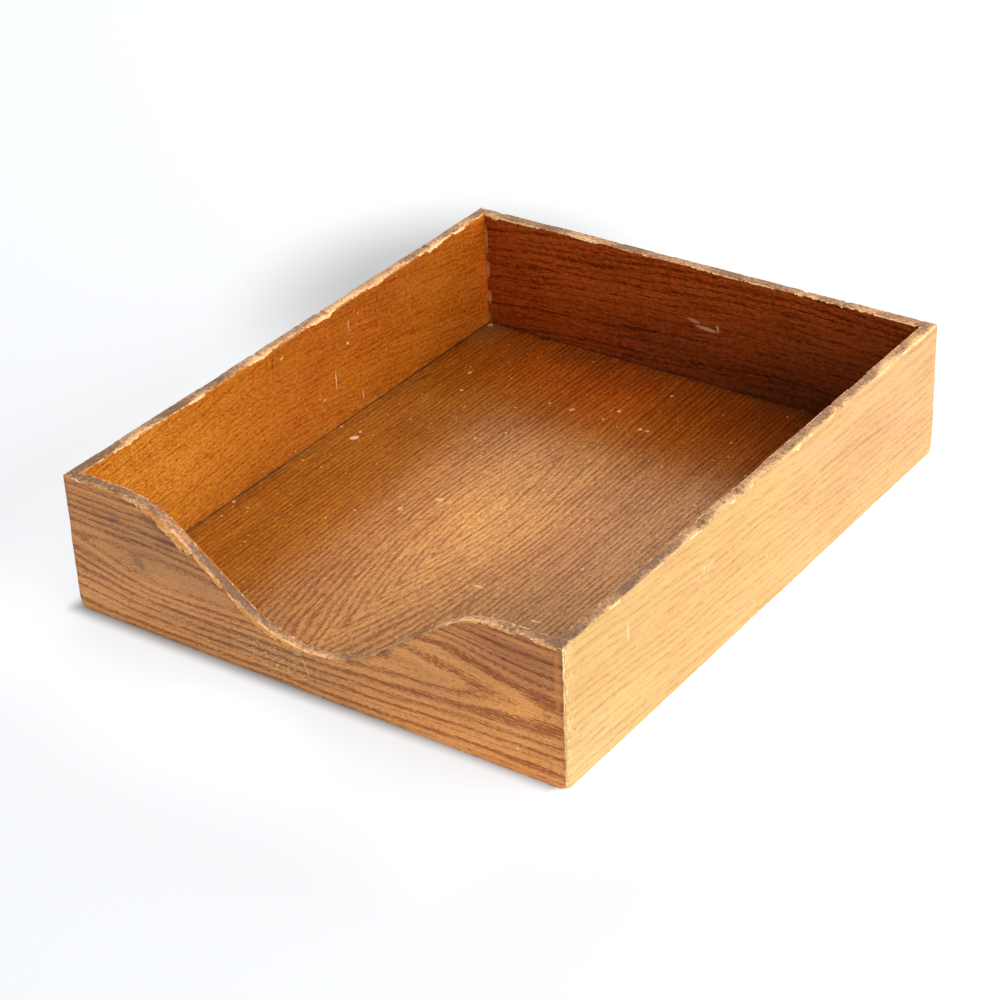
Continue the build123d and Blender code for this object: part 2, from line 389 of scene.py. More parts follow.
def inner_veneer(wall, material):
    """The inside ply: its rim is chipped in a ragged pale strip."""
    back = WALL - VENEER
    section = [(WALL, 0.0, FLOOR_TOP)]
    section += column(WALL, FLOOR_TOP + 0.4, 4.0, 1 / 26)
    section += arris(WALL, 0.4, -1, 1.0, 0.0, 1)
    section += [(back, 1.0, 0.0), (back, 1.0, -4.0), (back, 0.0, FLOOR_TOP + 3), (back, 0.0, FLOOR_TOP)]
    s, y, share, offset = wall_grid(wall, section)
    z = heights(wall, s, y, share, offset)
    top = rim(wall, s, y)
    seed = wall.seed + 100
    ragged = 0.16 * noise(s / 0.6, z / 0.3, seed + 3) + 0.16 * noise(s / 2.2, z / 0.5, seed + 4)
    rim_chip = chip_height(wall, s, wall.inner_chips, seed + 20, wall.wear.inner_rim, 0.4)
    inside = rim_chip - (top - z) + ragged
    chip = smooth(inside, 0.0, 0.3)
    near = np.clip(1 - (WALL - y) / VENEER, 0, 1)
    y = y - np.clip(chip * (0.2 + 0.3 * smooth(inside, 0.1, 1.4)) * near, 0, INNER_BREAK)
    z = z - 0.25 * chip * smooth(z, top - 0.5, top - 0.1)
    end = wall.length / 2 - WALL - np.abs(s)
    marks = {"chip": inside, "edge": np.minimum(z - FLOOR_TOP, end)}
    skin(f"{wall.name}_inner_veneer", place(wall, s, y, z), marks, material)


def foot_veneer(wall, material):
    """The strip of the inside ply that is left below the groove."""
    back = WALL - VENEER
    section = arris(WALL, 0.3, -1, 0.0, VENEER_FOOT, -1)[::-1]
    section += [(WALL, 0.0, z) for z in grades(VENEER_FOOT + 0.7, GROOVE_LOW, 0.5)]
    section += [(back, 0.0, GROOVE_LOW), (back, 0.0, VENEER_FOOT)]
    s, y, share, offset = wall_grid(wall, section)
    z = heights(wall, s, y, share, offset)
    worn = np.clip(0.12 * rough(s / 5, y / 2, wall.seed + 80), 0, 1)
    z = z + worn * (offset < 1)
    marks = {"chip": worn * 4 - 0.4, "edge": z}
    skin(f"{wall.name}_foot_veneer", place(wall, s, y, z), marks, material)


def bottom_ply(node, material, shown, step, seed):
    """One ply of the bottom panel. Its shown face, up or down, is slightly uneven."""
    low, high = (np.array(corner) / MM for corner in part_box(node))
    across = grades(low[0], high[0], step)
    lengthways = grades(low[1], high[1], step)
    top = [(x, high[2]) for x in across]
    under = [(x, low[2]) for x in across[::-1]]
    ring = np.array(top + under)
    x = np.broadcast_to(ring[:, 0], (len(lengthways), len(ring)))
    z = np.broadcast_to(ring[:, 1], x.shape).copy()
    y = np.broadcast_to(lengthways[:, None], x.shape)
    relief = np.clip(0.05 + 0.05 * rough(x / 45, y / 80, seed), 0, 0.15)
    if shown > 0:
        z = z - relief * (z > low[2] + 0.01)
    elif shown < 0:
        z = z + relief * (z < high[2] - 0.01)
    skin(node, np.stack([x, y, z], -1) * MM, {"chip": -1 + 0 * x, "edge": 0 * x}, material)


# ---------------------------------------------------------------- materials

def srgb(red, green, blue):
    """A colour given by its 0 to 255 screen values, as a linear RGBA."""
    values = np.array([red, green, blue]) / 255
    linear = np.where(values <= 0.04045, values / 12.92, ((values + 0.055) / 1.055) ** 2.4)
    return (*linear.tolist(), 1.0)


class Field:
    """A number or colour that varies over a surface. Arithmetic on fields adds nodes."""

    def __init__(self, graph, socket):
        self.graph, self.socket = graph, socket

    def op(self, operation, *others):
        return self.graph.math(operation, self, *others)

    def __add__(self, other):
        return self.op("ADD", other)

    def __sub__(self, other):
        return self.op("SUBTRACT", other)

    def __rsub__(self, other):
        return self.graph.math("SUBTRACT", other, self)

    def __mul__(self, other):
        return self.op("MULTIPLY", other)

    def __truediv__(self, other):
        return self.op("DIVIDE", other)

    def __rtruediv__(self, other):
        return self.graph.math("DIVIDE", other, self)

    __radd__, __rmul__ = __add__, __mul__

    def step(self, low, high, start=0.0, end=1.0):
        """Start below low, end above high, and a smooth change between."""
        return self.graph.node(
            "ShaderNodeMapRange",
            {"Value": self, "From Min": low, "From Max": high, "To Min": start, "To Max": end},
            interpolation_type="SMOOTHSTEP",
        )


class Graph:
    """A material's node tree, with short ways to add to it."""

    def __init__(self, name):
        self.material = bpy.data.materials.new(name)
        self.material.use_nodes = True
        self.nodes, self.links = self.material.node_tree.nodes, self.material.node_tree.links
        self.shader = self.nodes["Principled BSDF"]
        spot = Field(self, self.nodes.new("ShaderNodeTexCoord").outputs["Object"])
        split = self.nodes.new("ShaderNodeSeparateXYZ")
        self.feed(split.inputs[0], spot)
        self.x, self.y, self.z = (Field(self, out) * (1 / MM) for out in split.outputs)

    def feed(self, socket, value):
        if isinstance(value, Field):
            self.links.new(value.socket, socket)
        else:
            socket.default_value = value

    def node(self, kind, inputs, output=0, **settings):
        node = self.nodes.new(kind)
        for key, value in settings.items():
            setattr(node, key, value)
        for key, value in inputs.items():
            self.feed(node.inputs[key], value)
        return Field(self, node.outputs[output])

    def math(self, operation, *values):
        return self.node("ShaderNodeMath", dict(enumerate(values)), operation=operation)

    def mix(self, amount, first, second, blend="MIX"):
        """A colour between two, which are inputs 6 and 7 of the node."""
        inputs = {0: amount, 6: first, 7: second}
        return self.node("ShaderNodeMix", inputs, 2, data_type="RGBA", blend_type=blend)

    def vector(self, x, y, z):
        return self.node("ShaderNodeCombineXYZ", {0: x, 1: y, 2: z})

    def noise(self, place, detail=2.0, roughness=0.5):
        inputs = {"Vector": place, "Scale": 1.0, "Detail": detail, "Roughness": roughness}
        return self.node("ShaderNodeTexNoise", inputs)

    def noise1(self, place):
        """Smooth noise along a line."""
        inputs = {"W": place, "Scale": 1.0, "Detail": 0.0}
        return self.node("ShaderNodeTexNoise", inputs, noise_dimensions="1D")

    def chance(self, number):
        """A random number from 0 to 1 for each whole number."""
        return self.node("ShaderNodeTexWhiteNoise", {"W": number}, noise_dimensions="1D")

    def mark(self, name):
        return self.node("ShaderNodeAttribute", {}, 2, attribute_name=name)

    def set(self, **inputs):
        for key, value in inputs.items():
            self.feed(self.shader.inputs[key.replace("_", " ")], value)

    def bump(self, height, distance):
        """Bumps of a height in millimetres times distance."""
        normal = self.node("ShaderNodeBump", {"Height": height, "Distance": distance * MM, "Strength": 1.0})
        self.feed(self.shader.inputs["Normal"], normal)


# Figure: how the growth rings meet a face. Rings nest about a point at start along the grain and
# centre across it. Core rounds the middle ring. Slope closes the rings into long points, which
# straighten beyond reach across the grain, and fade straightens them beyond start. Spacing and
# first place the rings, tilt and wander bend them, uneven crowds them, and swells lift them about
# a place. Bold weighs the rings, fine the texture between them, and mottled its short grain.
# Sheen tints the reflections.
Figure = namedtuple(
    "Figure",
    "centre core start slope reach spacing first tilt wander uneven bold fine sheen swells mottled fade",
    defaults=((), 2.0, 0.0),
)
# Swell: a place, half sizes, how far it lifts the lines, and its turn
Swell = namedtuple("Swell", "u v long wide lift turn", defaults=(0.0,))
# Tones: the wood's light, middle and dark colours, its pores, and a fresh break's two colours
Tones = namedtuple("Tones", "light middle dark pore fresh bare")


def tones(wood, light, dark, fresh, bare):
    """The colours of one face: wood in the middle, a light and a dark share of it, and fresh breaks."""
    def share(red, green, blue):
        return (wood[0] * red, wood[1] * green, wood[2] * blue, 1.0)
    pore = [0.75 * d for d in dark]
    return Tones(share(*light), wood, share(*dark), share(*pore), fresh, bare)


# Spot: an oval on a face, its place along and across the grain, half sizes, turn, colour and amount
Spot = namedtuple("Spot", "u v long wide turn colour amount", defaults=(0, None, 1.0))


def oval(g, u, v, spot):
    """0 at the middle of a spot, 1 at its edge."""
    du, dv = u - spot.u, v - spot.v
    turn = radians(spot.turn)
    a = (du * cos(turn) + dv * sin(turn)) / spot.long
    b = (dv * cos(turn) - du * sin(turn)) / spot.wide
    return g.math("SQRT", a * a + b * b)


def shade(g, u, v, colour, patches):
    """Multiplies a colour over wide soft patches."""
    for patch in patches:
        amount = oval(g, u, v, patch).step(0.0, 1.0, patch.amount, 0.0)
        colour = g.mix(amount, colour, (*patch.colour, 1.0), "MULTIPLY")
    return colour


def paint(g, u, v, colour, spots):
    """Paints ragged spots over a colour."""
    ragged = (g.noise(g.vector(u / 1.1, v / 0.7, 2.0), 2) - 0.5) * 1.6
    for spot in spots:
        amount = (oval(g, u, v, spot) + ragged).step(0.6, 1.2, spot.amount, 0.0)
        colour = g.mix(amount, colour, srgb(*spot.colour))
    return colour


def oak(name, along, across, figure, palette, seed, gloss, extras=None):
    """Varnished oak veneer with its grain along one axis."""
    g = Graph(name)
    axes = {"X": g.x, "Y": g.y, "Z": g.z}
    u, v = axes[along], axes[across]
    w = axes[({"X", "Y", "Z"} - {along, across}).pop()]
    lean = v + u * figure.tilt
    for swell in figure.swells:
        far = oval(g, u, v, swell)
        lean = lean - g.math("EXPONENT", far * far * -1.0) * swell.lift

    def stretched(length, width, shift=0.0):
        """A place that changes by one over a length along the grain or a width across it."""
        return g.vector(u / length + (seed + shift), lean / width, w * 0.05)

    bend = (g.noise(stretched(120, 45), 1.0) - 0.5) * figure.wander
    ripple = (g.noise(stretched(34, 12, 3), 1.0) - 0.5) * (0.8 * figure.spacing)
    fray = (g.noise(stretched(14, 0.6, 5), 3.0) - 0.5) * (0.4 * figure.spacing)
    tip = 40.0
    run = g.math("SQRT", (u - figure.start) * (u - figure.start) + tip**2) - tip
    run = run / (run * (u - figure.start).step(-10.0, 30.0, 0.0, figure.fade) + 1.0)
    offset = lean - figure.centre + bend
    pull = 1.0 / (offset * offset / figure.reach**2 + 1.0)
    radius = g.math("SQRT", offset * offset + figure.core**2) + run * pull * figure.slope + ripple
    mottle = g.noise(stretched(2.1, 0.75, 15), 3.0, 0.65)
    ring = (radius + fray) / figure.spacing + (mottle - 0.5) * 0.15 + figure.first
    ring = ring + (g.noise1(ring * 0.45 + seed) - 0.5) * figure.uneven
    phase = g.math("FRACT", ring)
    chance = g.chance(g.math("FLOOR", ring) + seed * 7.0)
    late = (phase / (chance * 0.35 + 0.62)).step(0.35, 1.0)
    early = phase.step(0.0, 0.30) * g.math("SUBTRACT", 1.0, late)

    # fine lines follow the rings; strands, fibres and pores run straight along the grain
    lines = g.noise(g.vector(u / 34 + seed, radius / 0.75, 7.0), 2.0)
    strand = g.noise(stretched(20, 0.75, 11), 2.0)
    fibre = g.noise(stretched(5, 0.45, 13), 3, 0.6)
    blotch = g.noise(stretched(50, 22, 21), 3)
    stroke = g.noise(stretched(5.0, 0.36, 9), 1.0) + early * 0.10
    pores = stroke.step(0.60, 0.70)
    vary = min(0.6, figure.uneven)
    bands = early * (chance * vary + (1 - vary)) * strand.step(0.3, 0.62, 0.5, 1.2)

    texture = (lines - 0.5) * 0.7 + (strand - 0.5) * 0.5 + (fibre - 0.5) * 0.5
    texture = texture + (mottle - 0.5) * figure.mottled + pores * 0.12
    tone = bands * figure.bold + texture * figure.fine + (blotch - 0.5) * 0.55 + 0.30
    colour = g.mix(tone.step(0.0, 0.42), palette.light, palette.middle)
    colour = g.mix(tone.step(0.38, 1.0), colour, palette.dark)
    colour = g.mix(pores * (early * (0.85 * figure.bold) + 0.12), colour, palette.pore)
    hue = g.noise(stretched(26, 5, 51), 2.0)
    colour = g.mix(hue.step(0.45, 0.75) * 0.4, colour, (0.86, 0.68, 0.66, 1.0), "MULTIPLY")
    tint = g.noise(stretched(2.6, 1.1, 61), 3.0, 0.6)
    cool, warm = (0.88, 1.05, 1.25, 1.0), (1.10, 0.94, 0.80, 1.0)
    speckle = g.mix(tint.step(0.38, 0.62), cool, warm)
    colour = g.mix(0.14 * figure.mottled, colour, speckle, "MULTIPLY")
    shine = g.math("SUBTRACT", 1.0, tone.step(0.15, 0.9)) * 0.30 + 0.25
    wear = 0.0
    if extras:
        colour, wear = extras(g, u, v, colour)

    # broken veneer: a dark edge, painted as dirt and as shadow along the break, then fresh wood in two
    # colours, the paler one partly a painted highlight
    chip_edge = g.mark("chip") + (g.noise(stretched(1.6, 0.4, 27), 2) - 0.5) * 0.35
    chip = chip_edge.step(0.02, 0.16)
    rim_dirt_and_shadow = chip_edge.step(-0.25, 0.0)
    colour = g.mix(rim_dirt_and_shadow * 0.25, colour, palette.dark)
    broken = g.noise(stretched(1.6, 0.5, 31), 3, 0.7) + (g.noise(stretched(14, 3, 33), 1) - 0.5) * 0.5
    fresh = g.mix(broken.step(0.30, 0.42), palette.middle, palette.fresh)
    # the pale bare colour is partly a painted highlight on the breaks
    fresh = g.mix(broken.step(0.54, 0.64), fresh, palette.bare)
    colour = g.mix(chip, colour, fresh)

    dull = fibre * 0.10 + pores * 0.15 + chip * 0.35 + wear * 0.2 + gloss
    g.set(Base_Color=colour, Roughness=dull, IOR=1.5)
    g.set(Specular_IOR_Level=shine * g.math("SUBTRACT", 1.0, chip * 0.6), Specular_Tint=figure.sheen)
    relief = (fibre - 0.5) * 0.4 - pores * 0.7 - bands * 0.3 + g.noise(stretched(3, 3, 41), 2) * 0.4
    g.bump(relief - chip * g.noise(stretched(2.0, 0.5, 43), 3) * 6.0, 0.05)
    return g.material


def specks(g, u, v, size, share, radius, seed, stretch=1.0, turn=0.0):
    """Small light marks, one at most to each cell of a given size, in a share of the cells."""
    a = (u * cos(radians(turn)) + v * sin(radians(turn))) / stretch
    b = v * cos(radians(turn)) - u * sin(radians(turn))
    place = g.vector(a / size + seed, b / size, 0.0)
    cell = g.node("ShaderNodeTexVoronoi", {"Vector": place, "Scale": 1.0}, 1, voronoi_dimensions="2D")
    far = g.node("ShaderNodeTexVoronoi", {"Vector": place, "Scale": 1.0}, 0, voronoi_dimensions="2D")
    pick = g.node("ShaderNodeSeparateColor", {"Color": cell}, 0)
    reach = (pick - (1 - share)) * (0.8 * radius / size / share) + 0.2 * radius / size
    ragged = far + (g.noise(g.vector(u / 0.5, v / 0.5, seed), 1) - 0.5) * (0.6 * radius / size)
    return (ragged / reach).step(0.75, 1.1, 1.0, 0.0) * g.math("GREATER_THAN", pick, 1 - share)


def ply_edge(name, grey, beige, pit_colour, seed):
    """The sawn edge of the core: mottled end grain with open pits, grimy on its outer side."""
    g = Graph(name)
    fine = g.noise(g.vector(g.x / 0.5, g.y / 0.5, g.z / 0.5 + seed), 3, 0.65)
    coarse = g.noise(g.vector(g.x / 1.8 + seed, g.y / 1.8, g.z / 1.8), 2, 0.6)
    wide = g.noise(g.vector(g.x / 26, g.y / 26, g.z / 26 + seed), 2)
    tone = coarse * 0.5 + fine * 0.4 + (wide - 0.5) * 0.8
    inner = (g.mark("clean") + (coarse - 0.5) * 0.35 + (wide - 0.5) * 0.9).step(0.36, 0.60)
    dark = g.mix(inner, grey[1], beige[1])
    light = g.mix(inner, grey[0], beige[0])
    colour = g.mix(tone.step(0.30, 0.64), dark, light)
    pit = g.math("MAXIMUM", g.mark("chip").step(0.2, 0.9) * 0.7, fine.step(0.30, 0.40, 1, 0) * 0.45)
    colour = g.mix(pit * g.math("SUBTRACT", 1.0, inner * 0.4), colour, pit_colour)
    g.set(Base_Color=colour, Roughness=fine * 0.1 + 0.72, IOR=1.4)
    g.bump(fine * 0.8 + coarse * 0.5 - pit * 0.6, 0.07)
    return g.material


def plain_wood(name, colour_a, colour_b, seed):
    """Bare wood of a hidden piece."""
    g = Graph(name)
    grain = g.noise(g.vector(g.x / 0.8 + seed, g.y / 0.8, g.z / 12), 3, 0.6)
    g.set(Base_Color=g.mix(grain.step(0.3, 0.7), colour_a, colour_b), Roughness=grain * 0.2 + 0.6)
    g.bump(grain, 0.05)
    return g.material


TAN, CREAM, PEACH, DUSTY = srgb(236, 158, 84), srgb(255, 226, 172), srgb(236, 186, 132), srgb(172, 136, 106)
# Each face has its own copy of the oak's colours, set for how that face looks in its light. The differences
# are partly the wood's own tone and partly painted light and shade: the right side is paler as painted
# light, and the inside faces and the floor are deeper and redder as painted shade.
front_tones = tones(srgb(216, 143, 67), (1.12, 1.18, 1.55), (0.52, 0.37, 0.38), TAN, CREAM)
right_lit_tones = tones(srgb(200, 156, 88), (1.16, 1.18, 1.3), (0.70, 0.56, 0.42), srgb(228, 190, 130), CREAM)
other_tones = tones(srgb(196, 136, 70), (1.16, 1.22, 1.40), (0.52, 0.42, 0.46), DUSTY, srgb(214, 180, 142))
left_in_tones = tones(srgb(172, 90, 15), (1.25, 1.62, 2.8), (0.60, 0.38, 0.20), PEACH, CREAM)
back_in_tones = tones(srgb(166, 72, 18), (1.40, 1.70, 3.0), (0.34, 0.18, 0.30), PEACH, CREAM)
floor_tones = tones(srgb(150, 81, 12), (1.36, 1.66, 2.2), (0.60, 0.50, 0.45), PEACH, CREAM)
under_tones = tones(srgb(170, 122, 72), (1.25, 1.3, 1.4), (0.5, 0.45, 0.45), PEACH, CREAM)


def worn(light, grime, share=0.2, spots=(), more=None, patches=()):
    """Extras of a face: grime along its edges, light specks and short dashes, its own spots, and wide
    patches that are painted light and shade as well as tone.
    """
    def extras(g, u, v, colour):
        near = g.mark("edge").step(0.0, 3.0, 1.0, 0.0)
        dirt = near * g.noise(g.vector(u / 5, v / 5, 3.0), 2).step(0.35, 0.65)
        colour = g.mix(dirt * grime, colour, srgb(64, 48, 44))
        flecks = specks(g, u, v, 11.0, share, 0.5, 3.0)
        dashes = specks(g, u, v, 4.0, share * 0.3, 0.2, 5.0, 5.0, 70.0)
        marks = g.math("MAXIMUM", flecks, dashes * 0.7)
        if more:
            marks = g.math("MAXIMUM", marks, more(g, u, v))
        # the patches multiply in painted light and shade
        colour = g.mix(marks * 0.75, shade(g, u, v, colour, patches), light)
        return paint(g, u, v, colour, spots), marks
    return extras


def front_scuffs(g, u, v):
    """A band of pale scuffs low in the middle of the front."""
    here = oval(g, u, v, Spot(-18, 11, 26, 10, -12)).step(0.5, 1.1, 1.0, 0.0)
    return g.noise(g.vector(u / 2.0, v / 0.8, 9.0), 2, 0.6).step(0.56, 0.64) * here


def right_scuffs(g, u, v):
    """Upright abrasions beside the front arris of the right side, and a few above the middle."""
    near = (u + DEPTH / 2).step(2.0, 9.0, 1.0, 0.0) * v.step(4, 12)
    amid = oval(g, u, v, Spot(-52, 46, 9, 5)).step(0.5, 1.1, 0.8, 0.0)
    strokes = g.noise(g.vector(u / 0.7, v / 5.0, 4.0), 2).step(0.56, 0.66)
    return strokes * g.math("MAXIMUM", near, amid)


def floor_wear_and_painted_light(g, u, v, colour):
    """Extras of the floor: a paler middle and other wide patches of painted light and shade, specks in
    clumps, spots, and a dark joint at its four edges.
    """
    side = WIDTH / 2 - WALL - g.math("ABSOLUTE", v)
    ends = DEPTH / 2 - WALL - g.math("ABSOLUTE", u)
    joint = g.math("MINIMUM", side, ends)
    dirt = joint.step(0.0, 6.0, 1.0, 0.0) * g.noise(g.vector(u / 5, v / 5, 3.0), 2).step(0.3, 0.7)
    colour = g.mix(dirt * 0.5, colour, srgb(60, 34, 18))
    colour = g.mix(joint.step(0.3, 0.9, 0.85, 0.0), colour, srgb(40, 22, 14))
    # painted light and shade: a paler, sheen-like middle and a darker back right
    colour = shade(g, u, v, colour, FLOOR_LIGHT_AND_SHADE_PATCHES)
    large, small = specks(g, u, v, 12.0, 0.22, 1.1, 3.0), specks(g, u, v, 4.0, 0.16, 0.42, 4.0)
    clumps = g.noise(g.vector(u / 32, v / 32, 5.0), 1) + u * 0.0012 - v * 0.0008
    flecks = g.math("MAXIMUM", large, small) * clumps.step(0.40, 0.62, 0.15, 0.9)
    colour = g.mix(flecks, colour, srgb(232, 172, 112))
    return paint(g, u, v, colour, FLOOR_SPOTS), flecks


# Spots are painted on in screen colours; patches multiply what is there, as painted light and shade as well
# as tone
PALE, DUST, SMUDGE = (232, 204, 160), (150, 118, 78), (66, 54, 58)
FRONT_SPOTS = (
    Spot(-102.7, 54, 4.0, 1.6, 20, SMUDGE, 0.38), Spot(-91, 36, 4.5, 2.4, -38, SMUDGE, 0.40),
    Spot(104.5, 23, 4.5, 1.1, 5, SMUDGE, 0.36), Spot(-24, 48, 5, 1.6, 10, SMUDGE, 0.25),
    Spot(-1.3, 13.5, 6.5, 0.30, -70, PALE, 0.55), Spot(127.3, 50, 1.8, 15, 0, (226, 140, 70), 0.45),
    Spot(112, 64.2, 16, 1.5, -3, (226, 146, 80), 0.45),
    Spot(-76, 58.5, 14, 2.6, -14, (112, 62, 40), 0.65),
    Spot(-5, 18.6, 2.2, 1.0, 0, (176, 168, 132), 0.8),
    Spot(107, 12.8, 0.5, 0.5, 0, (255, 250, 240), 1.0),
    Spot(98.7, 28.8, 0.6, 0.5, 0, (140, 120, 160), 0.8),
)
RIGHT_SPOTS = (
    Spot(139.2, 18.7, 1.2, 1.0, 0, (170, 110, 70), 0.8),
    Spot(135, 30, 0.6, 0.6, 0, (170, 110, 70), 0.6), Spot(-152, 27, 0.6, 0.6, 0, (110, 60, 40), 0.8),
    Spot(41, 58, 14, 5, -10, (222, 150, 112), 0.35), Spot(-112, 50, 1.0, 5.0, 0, PALE, 0.5),
)
LEFT_IN_SPOTS = (
    Spot(-22, 61.5, 0.3, 6.5, -8, (70, 34, 14), 0.85), Spot(23.6, 31, 0.35, 5.5, 0, PALE, 0.6),
    Spot(34.5, 46.8, 1.0, 0.7, -30, PALE, 0.8), Spot(-15, 61, 1.2, 0.7, 30, PALE, 0.6),
    Spot(14, 25, 1.4, 0.6, 0, PALE, 0.6), Spot(36, 56, 0.4, 3.5, 0, PALE, 0.5),
    Spot(44, 14, 0.5, 2.5, 0, PALE, 0.5),
)
BACK_IN_SPOTS = (
    Spot(1.0, 39.3, 3.8, 0.9, -8, (196, 176, 140), 0.75),
    Spot(8.5, 36.6, 6.0, 1.0, -3, (206, 186, 146), 0.85),
    Spot(14.8, 38.2, 0.8, 2.2, 10, (206, 190, 150), 0.85),
    Spot(-123.4, 54, 1.0, 8, 0, (236, 176, 112), 0.8),
    Spot(-123.2, 37, 1.2, 5, 0, (236, 176, 112), 0.8),
    Spot(-122.9, 21, 1.5, 4, 0, (216, 180, 124), 0.8), Spot(-123.4, 9, 1.0, 4, 0, (190, 140, 90), 0.8),
)
FRONT_PATCHES = (
    Spot(-118, 26, 40, 12, 0, (0.90, 0.92, 1.0)), Spot(-92, 38, 30, 18, 0, (0.84, 0.86, 0.92)),
    Spot(-72, 53, 12, 9, 0, (0.72, 0.66, 0.72)), Spot(0, -4, 190, 14, 0, (1.08, 1.16, 1.40)),
    Spot(64, 27, 14, 9, 0, (0.90, 0.88, 0.92)), Spot(110, 32, 34, 24, 0, (1.26, 1.24, 1.22)),
    Spot(-130, 24, 46, 40, 0, (0.98, 1.02, 1.14)), Spot(-100, 54, 60, 22, 0, (0.74, 0.74, 0.82)),
    Spot(-58, 40, 62, 24, -10, (0.74, 0.74, 0.84)), Spot(-35, 13, 100, 11, 0, (0.78, 0.82, 0.96)),
    Spot(92, 2, 90, 24, 0, (1.30, 1.22, 1.15)), Spot(112, 60, 50, 28, 0, (0.62, 0.48, 0.46)),
)
RIGHT_PATCHES = (
    Spot(-150, 6, 90, 36, 0, (1.05, 1.18, 1.34)), Spot(120, 40, 130, 60, 0, (0.93, 0.86, 1.0)),
)
# Painted light and shade on the inside left wall: lighter towards the front where the light falls, lighter
# at the back end to lift the shadow there, and darker high towards the back.
LEFT_IN_LIGHT_AND_SHADE_PATCHES = (
    Spot(-150, 36, 150, 70, 0, (1.34, 1.86, 3.0)), Spot(160, 10, 60, 70, 0, (1.45, 1.45, 1.8)),
    Spot(172, 40, 40, 60, 0, (2.0, 1.6, 1.8)), Spot(60, 62, 120, 40, 0, (0.80, 0.72, 0.9)),
)
# Painted shade on the inside back: much darker towards its right end, by the right wall, and darker low
# down near the floor. The smaller patch left of the middle only evens the wood's tone.
BACK_IN_SHADE_PATCHES = (
    Spot(130, 0, 210, 90, 0, (0.14, 0.09, 0.5)), Spot(-22, 28, 56, 26, 0, (0.80, 0.84, 1.1)),
    Spot(0, 0, 200, 40, 0, (0.72, 0.70, 1.2)),
)
# Painted light and shade on the floor as well as tone: the paler middle and right are partly wear and
# partly a painted sheen, and the back right is darkened as painted shade.
FLOOR_LIGHT_AND_SHADE_PATCHES = (
    Spot(-20, -12, 150, 62, 0, (1.68, 2.02, 5.0)), Spot(-7, -19, 36, 26, 0, (1.14, 1.26, 1.30)),
    Spot(-128, -19, 30, 24, 0, (1.17, 1.18, 1.28)), Spot(0, 24, 130, 34, 0, (1.15, 1.16, 1.22)),
    Spot(-30, -52, 170, 46, 0, (1.16, 1.08, 1.0)), Spot(-30, -95, 170, 50, 0, (1.15, 1.20, 1.0)),
    Spot(10, 62, 130, 50, 0, (1.36, 1.42, 4.5)), Spot(75, 66, 34, 28, 0, (0.86, 0.80, 0.85)),
    Spot(33, -99, 30, 24, 0, (0.90, 0.82, 0.85)), Spot(142, -59, 16, 26, 0, (0.74, 0.80, 1.0)),
    Spot(112, -19, 32, 26, 0, (1.18, 1.10, 1.2)), Spot(135, -10, 90, 160, 0, (1.12, 0.78, 1.05)),
    Spot(135, -60, 70, 70, 0, (1.20, 1.10, 1.5)), Spot(150, 100, 105, 110, 0, (0.54, 0.34, 0.65)),
    Spot(-88, 84, 50, 46, 0, (0.84, 0.72, 0.66)),
)
FLOOR_SPOTS = (
    Spot(17.4, -110, 2.6, 1.7, 30, (240, 206, 160), 0.95), Spot(101, -100, 1.6, 1.0, 0, PALE, 0.6),
    Spot(95, -34.3, 1.9, 1.2, 20, (226, 158, 100), 0.9), Spot(95.4, 5, 1.3, 1.1, 0, PALE, 0.7),
    Spot(105.6, -13.3, 1.3, 1.0, 0, PALE, 0.7), Spot(-8.9, -40, 2.0, 1.3, 70, (226, 176, 120), 0.8),
    Spot(-25, -51, 1.6, 1.1, 0, PALE, 0.6), Spot(-61, 18.7, 3.6, 0.6, 90, (232, 180, 100), 0.7),
    Spot(-61, 18.7, 2.4, 0.5, 0, (232, 180, 100), 0.6),
    Spot(-71, 56, 3.0, 0.6, 80, (232, 190, 100), 0.8),
    Spot(-118.5, -67.5, 1.2, 0.8, 40, (116, 150, 84), 0.8),
    Spot(86, -117, 5, 1.2, 10, (52, 24, 10), 0.6), Spot(141, -116, 14, 9, 0, DUST, 0.22),
    Spot(149.5, -121, 1.8, 1.5, 0, (214, 190, 130), 0.95),
    Spot(150.8, -88, 1.2, 3.0, 0, (24, 16, 12), 0.95), Spot(138, 69, 2.0, 2.6, 0, (120, 84, 44), 0.5),
    Spot(131, -92, 10, 5, 0, (150, 84, 34), 0.3),
)

FRONT_SWELLS = (Swell(-137, 32, 34, 22, 8.0), Swell(72, 50, 22, 9, 5.0))
SHEEN, AMBER = (1.0, 0.97, 0.88, 1.0), (1.0, 0.97, 0.30, 1.0)
FRONT_FIGURE = Figure(
    centre=34, core=12, start=-75, slope=0.05, reach=26, spacing=2.9, first=0.9, tilt=0.0, wander=5,
    uneven=0.8, bold=0.66, fine=1.0, sheen=SHEEN, swells=FRONT_SWELLS, mottled=2.1,
)
RIGHT_FIGURE = Figure(
    centre=82, core=12, start=60, slope=0.05, reach=30, spacing=3.6, first=0.2, tilt=0.05, wander=9,
    uneven=1.2, bold=0.27, fine=0.46, sheen=SHEEN, mottled=2.2,
)
BACK_FIGURE = Figure(
    centre=30, core=10, start=30, slope=0.14, reach=25, spacing=3.8, first=0.1, tilt=0.0, wander=8,
    uneven=0.8, bold=0.7, fine=0.8, sheen=SHEEN,
)
LEFT_FIGURE = Figure(
    centre=20, core=10, start=-60, slope=0.12, reach=25, spacing=4.2, first=0.4, tilt=-0.02, wander=8,
    uneven=0.8, bold=0.7, fine=0.8, sheen=SHEEN,
)
FRONT_IN_FIGURE = Figure(
    centre=40, core=10, start=20, slope=0.12, reach=25, spacing=3.0, first=0.0, tilt=0.0, wander=6,
    uneven=0.6, bold=0.5, fine=0.8, sheen=AMBER,
)
